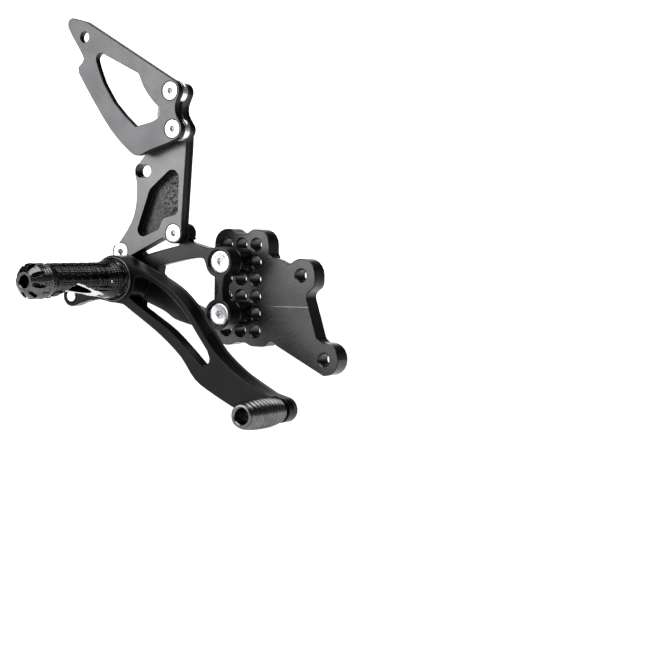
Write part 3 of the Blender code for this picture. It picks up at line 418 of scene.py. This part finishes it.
def tail_pin():
    low, high = span("tail_pin")
    axis = centre_of("tail_pin")
    head = (high.x - low.x) / 2
    top = low.y
    shank = 3.0
    groove = high.y - 2.0
    profile = [(0.02, top), (head * 0.55, top + 0.02), (head - 0.55, top + 0.1), (head - 0.12, top + 0.4),
               (head, top + 0.8), (head, top + 4.0), (shank + 0.1, top + 4.05), (shank, top + 4.2),
               (shank, groove - 0.6), (shank - 0.6, groove - 0.55), (shank - 0.6, groove + 0.55),
               (shank, groove + 0.6), (shank, high.y - 0.5), (shank - 0.5, high.y), (0.02, high.y)]
    pin = turned("tail_pin_detail", axis, profile, 96, smooth=26.0)
    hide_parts("tail_pin")
    return pin


def guard_spacer(node):
    """A turned spacer with chamfered ends and one shallow groove round its middle."""
    low, high = span(node)
    axis = centre_of(node)
    outside = (high.x - low.x) / 2
    front, back = low.y, high.y
    middle = (front + back) / 2
    bore = 3.35
    profile = [(bore, front), (outside - 0.45, front), (outside - 0.1, front + 0.15), (outside, front + 0.45),
               (outside, middle - 0.5), (outside - 0.3, middle - 0.3), (outside - 0.3, middle + 0.3),
               (outside, middle + 0.5), (outside, back - 0.45), (outside - 0.1, back - 0.15),
               (outside - 0.45, back), (bore, back)]
    spacer = turned(node + "_detail", axis, profile, 96, closed=True, smooth=26.0)
    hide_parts(node)
    return spacer


def locating_pin():
    low, high = span("peg_locating_pin")
    y0, z0 = (low.y + high.y) / 2, (low.z + high.z) / 2
    radius = (high.y - low.y) / 2
    loops = []
    shape = ((1.0, low.x), (1.0, high.x - 0.5), (0.93, high.x - 0.25), (0.75, high.x - 0.08),
             (0.4, high.x))
    for share, x in shape:
        loop = []
        for k in range(32):
            a = 2 * math.pi * k / 32
            loop.append((x, y0 + radius * share * math.cos(a), z0 + radius * share * math.sin(a)))
        loops.append(loop)
    pin = skin("peg_locating_pin_detail", loops, smooth=40.0)
    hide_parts("peg_locating_pin")
    return pin


# ---------------------------------------------------------------- finishes

class Finish:
    """Builds one material's nodes. Sockets given as values are set, and given as sockets are linked."""

    def __init__(self, name):
        self.material = bpy.data.materials.new(name)
        self.material.use_nodes = True
        self.tree = self.material.node_tree
        self.shader = self.tree.nodes["Principled BSDF"]
        coordinates = self.tree.nodes.new("ShaderNodeTexCoord")
        self.place = self.vector("SCALE", coordinates.outputs["Object"], scale=1 / MM)
        geometry = self.tree.nodes.new("ShaderNodeNewGeometry")
        self.facing = geometry.outputs["Normal"]

    def feed(self, socket, value):
        if isinstance(value, bpy.types.NodeSocket):
            self.tree.links.new(value, socket)
        else:
            wide = hasattr(value, "__len__") and socket.type == "VECTOR"
            socket.default_value = value[:3] if wide else value

    def vector(self, operation, first, second=None, scale=None):
        node = self.tree.nodes.new("ShaderNodeVectorMath")
        node.operation = operation
        self.feed(node.inputs[0], first)
        if second is not None:
            self.feed(node.inputs[1], second)
        if scale is not None:
            node.inputs["Scale"].default_value = scale
        single = operation in ("DOT_PRODUCT", "LENGTH")
        return node.outputs["Value"] if single else node.outputs[0]

    def maths(self, operation, first, second=0.0, third=0.0):
        node = self.tree.nodes.new("ShaderNodeMath")
        node.operation = operation
        for socket, value in zip(node.inputs, (first, second, third)):
            self.feed(socket, value)
        return node.outputs[0]

    def step(self, value, low, high, out_low=0.0, out_high=1.0):
        """A smooth step of value from low to high."""
        node = self.tree.nodes.new("ShaderNodeMapRange")
        node.interpolation_type = "SMOOTHSTEP"
        for socket, given in zip(node.inputs, (value, low, high, out_low, out_high)):
            self.feed(socket, given)
        return node.outputs[0]

    def noise(self, vector, scale, detail=2.0, roughness=0.5):
        node = self.tree.nodes.new("ShaderNodeTexNoise")
        self.feed(node.inputs["Vector"], vector)
        node.inputs["Scale"].default_value = scale
        node.inputs["Detail"].default_value = detail
        node.inputs["Roughness"].default_value = roughness
        return node.outputs["Fac"]

    def stretched(self, direction, along, across):
        """Coordinates squeezed along one direction in the X-Z plane, for a brushed grain."""
        node = self.tree.nodes.new("ShaderNodeMapping")
        node.vector_type = "TEXTURE"
        self.feed(node.inputs["Vector"], self.place)
        node.inputs["Rotation"].default_value = (0.0, -math.radians(direction), 0.0)
        node.inputs["Scale"].default_value = (along, 1.0, across)
        return node.outputs[0]

    def axis(self, number):
        node = self.tree.nodes.new("ShaderNodeSeparateXYZ")
        self.feed(node.inputs[0], self.place)
        return node.outputs[number]

    def from_axis(self, middle):
        """Distance from an axis along Y through (x, z)."""
        moved = self.vector("SUBTRACT", self.place, (middle[0], 0.0, middle[1]))
        flat = self.vector("MULTIPLY", moved, (1.0, 0.0, 1.0))
        return self.vector("LENGTH", flat)

    def rings_at(self, distance, depth, rings):
        """Coordinates for fine rings: distance from an axis, and depth along it."""
        node = self.tree.nodes.new("ShaderNodeCombineXYZ")
        self.feed(node.inputs[0], self.maths("MULTIPLY", distance, rings))
        self.feed(node.inputs[1], self.maths("MULTIPLY", depth, rings))
        return node.outputs[0]

    def front_share(self):
        """One on the flat faces that look along Y, zero on the sides."""
        along = self.vector("DOT_PRODUCT", self.facing, (0.0, 1.0, 0.0))
        return self.step(self.maths("ABSOLUTE", along), 0.86, 0.97)

    def mix(self, share, first, second):
        node = self.tree.nodes.new("ShaderNodeMix")
        node.data_type = "RGBA"
        self.feed(node.inputs["Factor"], share)
        colours = [s for s in node.inputs if s.type == "RGBA"]
        self.feed(colours[0], first)
        self.feed(colours[1], second)
        return [s for s in node.outputs if s.type == "RGBA"][0]

    def tinted(self, colour, share):
        """A grey colour scaled by a number that varies over the surface."""
        node = self.tree.nodes.new("ShaderNodeVectorMath")
        node.operation = "SCALE"
        self.feed(node.inputs[0], colour)
        self.feed(node.inputs["Scale"], share)
        return node.outputs[0]

    def edge_wear_and_highlight(self, radius, low=0.02, high=0.16):
        """One on sharp edges, broken up by noise: it marks rubbed edges and also paints a highlight along
        them.
        """
        bevel = self.tree.nodes.new("ShaderNodeBevel")
        bevel.samples = 6
        bevel.inputs["Radius"].default_value = radius * MM
        bent = self.maths("SUBTRACT", 1.0, self.vector("DOT_PRODUCT", bevel.outputs[0], self.facing))
        edge = self.step(bent, low, high)
        return self.maths("MULTIPLY", edge, self.step(self.noise(self.place, 0.55, 4.0), 0.36, 0.62))

    def surface(self, height, strength, distance, bevel=0.25):
        """Bump over slightly rounded edges."""
        rounded = self.tree.nodes.new("ShaderNodeBevel")
        rounded.samples = 6
        rounded.inputs["Radius"].default_value = bevel * MM
        bump = self.tree.nodes.new("ShaderNodeBump")
        bump.inputs["Strength"].default_value = strength
        bump.inputs["Distance"].default_value = distance * MM
        self.feed(bump.inputs["Height"], height)
        self.feed(bump.inputs["Normal"], rounded.outputs[0])
        self.feed(self.shader.inputs["Normal"], bump.outputs[0])

    def metal(self, metallic=1.0):
        self.shader.inputs["Metallic"].default_value = metallic

    def paint(self, colour, roughness):
        self.feed(self.shader.inputs["Base Color"], colour)
        self.feed(self.shader.inputs["Roughness"], roughness)


WEB_LINE = -22.5  # height of the cutter's step line on the adapter plate
WEB_CUTTER = (-52.0, -64.0)  # the middle of the cutter's arcs
HUB_RIM_RADIUS = 15.8
BARE_GREY = 0.50


def grey(value, warm=0.0):
    """A grey base colour, tinted a little warm or cool."""
    return (value * (1 + warm), value, value * (1 - warm + 0.03), 1.0)


def anodised_plate(name, face, side, direction, rough=0.36, edge=0.22, extra=None):
    """Black anodised plate: brushed flat faces, darker milled sides, edges painted a little bright, partly as
    rubbing and partly as a painted highlight.
    """
    f = Finish(name)
    grain = f.noise(f.stretched(direction, 14.0, 0.32), 1.0, 4.0, 0.6)
    fine = f.noise(f.stretched(direction, 5.0, 0.12), 1.0, 2.0, 0.5)
    clouds = f.noise(f.place, 0.045, 3.0)
    front = f.front_share()
    tone = f.maths("MULTIPLY", f.step(grain, 0.2, 0.8, 0.89, 1.11), f.step(clouds, 0.25, 0.75, 0.88, 1.12))
    tone = f.maths("MULTIPLY", tone, f.step(fine, 0.2, 0.8, 0.93, 1.07))
    flat = f.mix(front, grey(side), grey(face))
    if extra is not None:
        flat = extra(f, flat)
    colour = f.tinted(flat, tone)
    # Edges get a lighter grey: rubbed edges, and a painted highlight along the chamfers.
    colour = f.mix(f.edge_wear_and_highlight(0.28), colour, grey(edge))
    specks = f.noise(f.place, 2.4, 3.0)
    roughness = f.maths("ADD", f.step(grain, 0.2, 0.8, rough - 0.07, rough + 0.07),
                        f.step(specks, 0.3, 0.7, -0.03, 0.03))
    f.metal()
    f.paint(colour, roughness)
    height = f.maths("ADD", grain, f.maths("MULTIPLY", fine, 0.6))
    f.surface(height, 0.22, 0.03)
    return f.material


def shaded_pocket_floor(f, flat):
    """The rough milled floor of the upright's pocket, speckled towards its front edge and painted darker as
    shade in the recess.
    """
    y = f.axis(1)
    inside = f.maths("MULTIPLY", f.step(y, -49.0, -48.2), f.step(y, -46.0, -46.8))
    speckle = f.noise(f.place, 0.62, 5.0, 0.75)
    ridges = f.noise(f.stretched(60.0, 2.2, 0.9), 0.8, 3.0, 0.7)
    amount = f.step(f.axis(0), -102.0, -84.0, 0.25, 1.0)
    rough = f.maths("MULTIPLY", f.step(speckle, 0.38, 0.62, -1.0, 1.0), amount)
    # Painted shade: the floor is darkened to about a third of the face colour, a little more towards its
    # front edge, with the milling's speckle and ridges on top.
    shade_and_speckle = f.maths("ADD", 0.36, f.maths("MULTIPLY", rough, 0.34))
    shade_and_speckle = f.maths("ADD", shade_and_speckle, f.step(ridges, 0.3, 0.7, -0.1, 0.1))
    shade_and_speckle = f.maths("SUBTRACT", shade_and_speckle, f.maths("MULTIPLY", amount, 0.1))
    floor = f.tinted(flat, f.maths("MAXIMUM", shade_and_speckle, 0.06))
    return f.mix(inside, flat, floor)


def milled_web_and_step_highlight(f, flat):
    """Faint cutter arcs on the adapter plate, and a painted highlight along the step line its cutter left
    across the web.
    """
    distance = f.from_axis(WEB_CUTTER)
    waves = f.maths("SINE", f.maths("MULTIPLY", distance, 5.2))
    arcs = f.step(waves, -1.0, 1.0, 0.93, 1.07)
    flat = f.tinted(flat, arcs)
    x, z = f.axis(0), f.axis(2)
    slope = f.maths("ADD", z, f.maths("MULTIPLY", x, -0.02))
    # Painted highlight: a light grey line along the cutter's step, on the flat faces only.
    line = f.step(f.maths("ABSOLUTE", f.maths("SUBTRACT", slope, WEB_LINE)), 0.42, 0.12)
    line = f.maths("MULTIPLY", line, f.maths("MULTIPLY", f.step(x, -28.0, -18.0), f.step(x, 16.0, 8.0)))
    line = f.maths("MULTIPLY", line, f.front_share())
    return f.mix(f.maths("MULTIPLY", line, 0.45), flat, grey(0.42))


def lever_strip_and_rim_highlight(f, flat):
    """A lighter machined strip along the upper side's back edge, and a painted highlight ring on the hub's
    rim.
    """
    up = f.step(f.vector("DOT_PRODUCT", f.facing, (0.3, 0.0, 0.95)), 0.30, 0.55)
    strip = f.maths("MULTIPLY", up, f.step(f.axis(1), -60.2, -59.2))
    flat = f.mix(strip, flat, grey(0.14))
    rim_front = span("brake_lever")[0].y
    # Painted highlight: a thin lighter ring round the hub's rim on the lever's front face.
    off = f.maths("ABSOLUTE", f.maths("SUBTRACT", f.from_axis(PEG_AXIS), HUB_RIM_RADIUS))
    rim = f.maths("MULTIPLY", f.step(off, 0.65, 0.45), f.step(f.axis(1), rim_front + 0.8, rim_front + 0.6))
    return f.mix(rim, flat, grey(0.10))


def scoop_face(f):
    """One on the two faces of the scoop, which were cut after the peg was made black."""
    share = None
    for end, side in zip(SCOOP_ENDS, (-1.0, 1.0)):
        valley = Vector(scoop_point(0.0, *SCOOP_LINE))
        along = (Vector(scoop_point(0.0, *end)) - valley).normalized()
        across = Vector(scoop_point(1.0, *SCOOP_LINE)) - valley
        normal = along.cross(across).normalized()
        moved = f.vector("SUBTRACT", f.place, tuple(valley))
        off = f.maths("ABSOLUTE", f.vector("DOT_PRODUCT", moved, tuple(normal)))
        near = f.step(off, 0.12, 0.03)
        near = f.maths("MULTIPLY", near, f.step(f.maths("MULTIPLY", f.axis(1), side), side * valley.y - 0.3,
                                                side * valley.y + 0.1))
        share = near if share is None else f.maths("MAXIMUM", share, near)
    return share


def glossy_black(name, colour, rough, crest_wear_and_highlight=0.30, bare=None):
    """Glossy black anodising on turned parts, painted lighter on edges and the knurl's crests, partly as
    rubbing and partly as a painted highlight.
    """
    f = Finish(name)
    clouds = f.noise(f.place, 0.12, 3.0)
    fine = f.noise(f.place, 2.2, 4.0, 0.65)
    turning = f.noise(f.vector("MULTIPLY", f.place, (0.02, 3.4, 0.02)), 1.0, 2.0)
    tone = f.maths("MULTIPLY", f.step(clouds, 0.25, 0.75, 0.8, 1.2), f.step(fine, 0.3, 0.7, 0.85, 1.15))
    body = f.tinted(grey(colour), tone)
    # The knurl's crests and other edges get a lighter grey: rubbed metal, and a painted highlight.
    colour_out = f.mix(f.edge_wear_and_highlight(0.22, 0.03, 0.3), body, grey(crest_wear_and_highlight))
    if bare is not None:
        colour_out = f.mix(bare(f), colour_out, grey(BARE_GREY))
    f.metal()
    roughness = f.maths("ADD", f.step(fine, 0.3, 0.7, rough - 0.04, rough + 0.06),
                        f.step(turning, 0.2, 0.8, -0.03, 0.03))
    f.paint(colour_out, roughness)
    f.surface(f.maths("ADD", fine, turning), 0.12, 0.02, 0.12)
    return f.material


def turned_metal(name, colour, rough, axis, warm=0.0, rings=9.0):
    """Bright turned metal with fine rings round its axis and light handling marks."""
    f = Finish(name)
    distance = f.from_axis(axis)
    lines = f.noise(f.rings_at(distance, f.axis(1), rings), 1.0, 3.0, 0.6)
    smear = f.noise(f.place, 0.22, 4.0, 0.6)
    scratch = f.noise(f.stretched(38.0, 4.0, 0.1), 1.0, 2.0)
    tone = f.maths("MULTIPLY", f.step(lines, 0.2, 0.8, 0.88, 1.06), f.step(smear, 0.3, 0.7, 0.92, 1.05))
    f.metal()
    roughness = f.maths("ADD", f.step(smear, 0.3, 0.7, rough - 0.05, rough + 0.07),
                        f.step(scratch, 0.6, 0.75, 0.0, 0.08))
    f.paint(f.tinted(grey(colour, warm), tone), roughness)
    f.surface(lines, 0.08, 0.02, 0.10)
    return f.material


def rubber(name):
    """Dull black rubber with a fine grain and some dust."""
    f = Finish(name)
    grain = f.noise(f.place, 5.0, 4.0, 0.6)
    dust = f.noise(f.place, 0.4, 3.0)
    f.paint(f.tinted(grey(0.018), f.step(dust, 0.3, 0.7, 0.8, 1.5)), f.step(grain, 0.3, 0.7, 0.45, 0.65))
    f.surface(grain, 0.3, 0.03, 0.1)
    return f.material


# ---------------------------------------------------------------- assembly

def finish_cad(node, material):
    """Smooth shading over the faceted solid, and its finish."""
    target = frame["nodes"][node]
    mesh = target.data
    normals = mesh.attributes.get("custom_normal")
    if normals is not None:
        mesh.attributes.remove(normals)
    mesh.shade_smooth()
    weld = target.modifiers.new("weld", "WELD")
    weld.merge_threshold = 1e-6
    split = target.modifiers.new("edges", "EDGE_SPLIT")
    split.split_angle = math.radians(33.0)
    put_on(target, material)


def put_on(target, material):
    target.data.materials.clear()
    target.data.materials.append(material)


def place(piece, body, material):
    put_on(piece, material)
    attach(piece, body)


def build():
    guard_black = anodised_plate("guard_black", 0.072, 0.020, -36.0, 0.36, 0.09)
    upright_black = anodised_plate("upright_black", 0.100, 0.044, -36.0, 0.34, 0.12, shaded_pocket_floor)
    plate_black = anodised_plate("adapter_black", 0.058, 0.030, 20.0, 0.30, 0.11, milled_web_and_step_highlight)
    bracket_black = anodised_plate("bracket_black", 0.036, 0.022, 90.0, 0.34, 0.10)
    lever_black = anodised_plate("lever_black", 0.0135, 0.009, -40.0, 0.36, 0.06, lever_strip_and_rim_highlight)
    spacer_black = glossy_black("spacer_black", 0.035, 0.16, 0.07)
    gloss = glossy_black("gloss_black", 0.036, 0.17, 0.40, scoop_face)
    cap_gloss = glossy_black("cap_black", 0.085, 0.20, 0.40)
    toe_gloss = glossy_black("toe_black", 0.11, 0.20, 0.30)
    for node, material in (
            ("heel_guard", guard_black), ("upright_plate", upright_black), ("adapter_plate", plate_black),
            ("main_bracket", bracket_black), ("brake_lever", lever_black),
            ("upper_spacer", spacer_black), ("lower_spacer", spacer_black)):
        finish_cad(node, material)
    seal = rubber("seal_rubber")
    bearing_steel = turned_metal("bearing_steel", 0.55, 0.22, PEG_AXIS)
    for node in ("front_bearing_inner_ring", "rear_bearing_inner_ring", "front_bearing_outer_ring",
                 "rear_bearing_outer_ring", "pivot_sleeve", "peg_bolt"):
        finish_cad(node, bearing_steel)
    for node in ("front_bearing_seal", "rear_bearing_seal"):
        finish_cad(node, seal)
    finish_cad("toe_peg_screw", turned_metal("toe_screw_steel", 0.6, 0.25, TOE_AXIS))
    finish_cad("tail_pin_clip", turned_metal("clip_steel", 0.5, 0.3, centre_of("tail_pin")))

    peg = foot_peg()
    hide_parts("foot_peg")
    place(peg, STATIC, gloss)
    cap = peg_end_cap()
    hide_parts("peg_end_cap")
    place(cap, STATIC, cap_gloss)
    toe = toe_peg()
    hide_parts("toe_peg")
    place(toe, MOVING, toe_gloss)

    for node, across, size, pitch in (
            ("upper_bracket_screw", 5.0, 8.0, 1.25), ("lower_bracket_screw", 5.0, 8.0, 1.25),
            ("upright_front_screw", 4.0, 6.0, 1.0), ("upright_rear_screw", 4.0, 6.0, 1.0),
            ("guard_upper_screw", 4.0, 6.0, 1.0), ("guard_lower_screw", 4.0, 6.0, 1.0)):
        steel = turned_metal(node + "_steel", 0.64, 0.26, centre_of(node))
        place(countersunk_screw(node, across, size, pitch), STATIC, steel)
    pin_steel = turned_metal("pin_steel", 0.66, 0.24, centre_of("tail_pin"), 0.01)
    place(tail_pin(), MOVING, pin_steel)
    place(locating_pin(), STATIC, pin_steel)
    for node in ("guard_upper_spacer", "guard_lower_spacer"):
        bare = turned_metal(node + "_bare", 0.82, 0.22, centre_of(node), -0.015, 4.0)
        place(guard_spacer(node), STATIC, bare)


# ---------------------------------------------------------------- camera, light and floor

def camera():
    """The camera, given by its angles, its distance from the origin and its lens."""
    azimuth, elevation, roll = (math.radians(v) for v in (30.509, 3.364, 1.167))
    distance, lens = 1226.04, 94.51
    origin_left, origin_above = 10.167, 35.709  # of the middle of the view, at the origin's distance
    right = Vector((math.cos(azimuth), math.sin(azimuth), 0.0))
    look = Vector((-math.sin(azimuth) * math.cos(elevation), math.cos(azimuth) * math.cos(elevation),
                   -math.sin(elevation)))
    up = right.cross(look)
    side = right * math.cos(roll) + up * math.sin(roll)
    top = up * math.cos(roll) - right * math.sin(roll)
    place_mm = side * origin_left - top * origin_above - look * distance
    data = bpy.data.cameras.new("camera")
    data.sensor_width = 36.0
    data.lens = lens
    data.clip_start = 0.05
    data.clip_end = 50.0
    made = bpy.data.objects.new("camera", data)
    made.matrix_world = Matrix((
        (side.x, top.x, -look.x, place_mm.x * MM),
        (side.y, top.y, -look.y, place_mm.y * MM),
        (side.z, top.z, -look.z, place_mm.z * MM),
        (0.0, 0.0, 0.0, 1.0)))
    bpy.context.scene.collection.objects.link(made)
    bpy.context.scene.camera = made


def soft_light(name, where, towards, width, height, radiance):
    """A rectangular soft light with the given radiance."""
    data = bpy.data.lights.new(name, "AREA")
    data.shape = "RECTANGLE"
    data.size = width
    data.size_y = height
    data.energy = radiance * math.pi * width * height
    made = bpy.data.objects.new(name, data)
    made.location = where
    made.rotation_euler = (Vector(towards) - Vector(where)).to_track_quat("-Z", "Y").to_euler()
    bpy.context.scene.collection.objects.link(made)


def world():
    """A dim studio, lighter along its horizon, that reads white behind the object."""
    made = bpy.data.worlds.new("studio")
    bpy.context.scene.world = made
    made.use_nodes = True
    tree = made.node_tree
    background = tree.nodes["Background"]
    coordinates = tree.nodes.new("ShaderNodeTexCoord")
    direction = coordinates.outputs["Generated"]

    def smooth_step(value, low, high, out_low, out_high):
        node = tree.nodes.new("ShaderNodeMapRange")
        node.interpolation_type = "SMOOTHSTEP"
        tree.links.new(value, node.inputs[0])
        for socket, given in zip(list(node.inputs)[1:5], (low, high, out_low, out_high)):
            socket.default_value = given
        return node.outputs[0]

    def larger(first, second):
        node = tree.nodes.new("ShaderNodeMath")
        node.operation = "MAXIMUM"
        tree.links.new(first, node.inputs[0])
        tree.links.new(second, node.inputs[1])
        return node.outputs[0]

    toward = tree.nodes.new("ShaderNodeVectorMath")
    toward.operation = "DOT_PRODUCT"
    tree.links.new(direction, toward.inputs[0])
    toward.inputs[1].default_value = (-0.507, 0.860, 0.04)
    parts = tree.nodes.new("ShaderNodeSeparateXYZ")
    tree.links.new(direction, parts.inputs[0])
    glow = smooth_step(toward.outputs["Value"], 0.84, 0.97, 0.0, 1.6)
    horizon = smooth_step(parts.outputs["Z"], 0.10, 0.36, 0.24, 0.05)
    path = tree.nodes.new("ShaderNodeLightPath")
    strength = larger(larger(glow, horizon), path.outputs["Is Camera Ray"])
    tree.links.new(strength, background.inputs["Strength"])
    background.inputs["Color"].default_value = (1.0, 1.0, 1.0, 1.0)


FLOOR_RADIUS = 1500.0
FLOOR_DROP = 0.002  # metres below the object's lowest point at rest


def floor():
    """A pale floor under the object."""
    low, high = cad_box
    bm = bmesh.new()
    bmesh.ops.create_circle(bm, cap_ends=True, segments=128, radius=FLOOR_RADIUS)
    made = object_from("floor", bm)
    made.location = ((low.x + high.x) / 2, (low.y + high.y) / 2, low.z - FLOOR_DROP)
    f = Finish("floor_white")
    soft = f.noise(f.place, 0.004, 2.0)
    f.paint(f.tinted(grey(0.60), f.step(soft, 0.3, 0.7, 0.98, 1.0)), 0.8)
    f.shader.inputs["Specular IOR Level"].default_value = 0.0
    f.shader.inputs["Emission Color"].default_value = (1.0, 1.0, 1.0, 1.0)
    f.shader.inputs["Emission Strength"].default_value = 0.90
    put_on(made, f.material)


camera()
world()
floor()
build()
soft_light("key", (-0.62, -1.02, 0.36), (-0.07, -0.06, 0.06), 0.80, 0.75, 5.7)
soft_light("top", (0.16, -0.42, 0.95), (-0.09, -0.10, 0.0), 1.0, 0.9, 5.0)
bpy.context.scene.view_settings.view_transform = "Standard"
